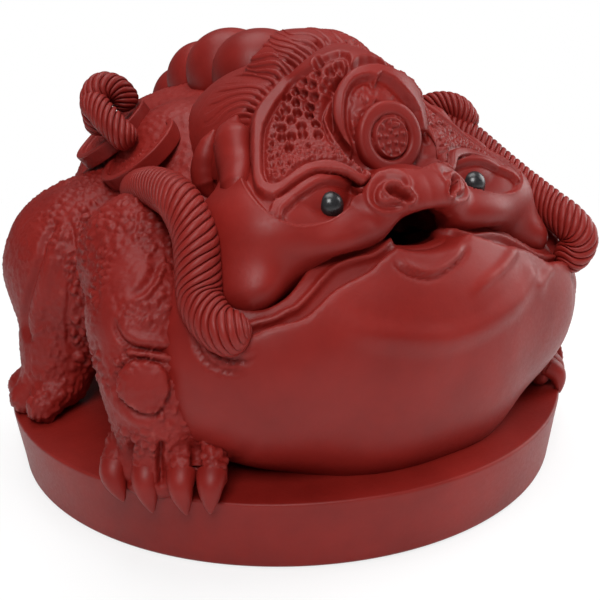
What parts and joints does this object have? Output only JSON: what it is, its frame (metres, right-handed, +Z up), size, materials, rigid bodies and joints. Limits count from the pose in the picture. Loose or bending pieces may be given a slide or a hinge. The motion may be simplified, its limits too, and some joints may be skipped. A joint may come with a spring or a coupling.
{
  "type": "money frog figurine",
  "caption": "Hollow red-clay figurine of a crouching money frog on a round base, open at the mouth, with black bead pupils, carved cords and coins.",
  "frame": {"origin": "centre of the round base's underside", "axes": "+Z up, the toad faces -Y, +X towards the toad's own left side"},
  "size_m": [0.1234, 0.1242, 0.0889],
  "materials": {
    "red_clay": "unglazed fired red stoneware, satin where it was burnished and finely pebbled on the skin",
    "black_clay": "polished black clay bead"
  },
  "bodies": {
    "root": {"toad_body": "red_clay", "pupil_left": "black_clay", "pupil_right": "black_clay"}
  },
  "joints": []
}
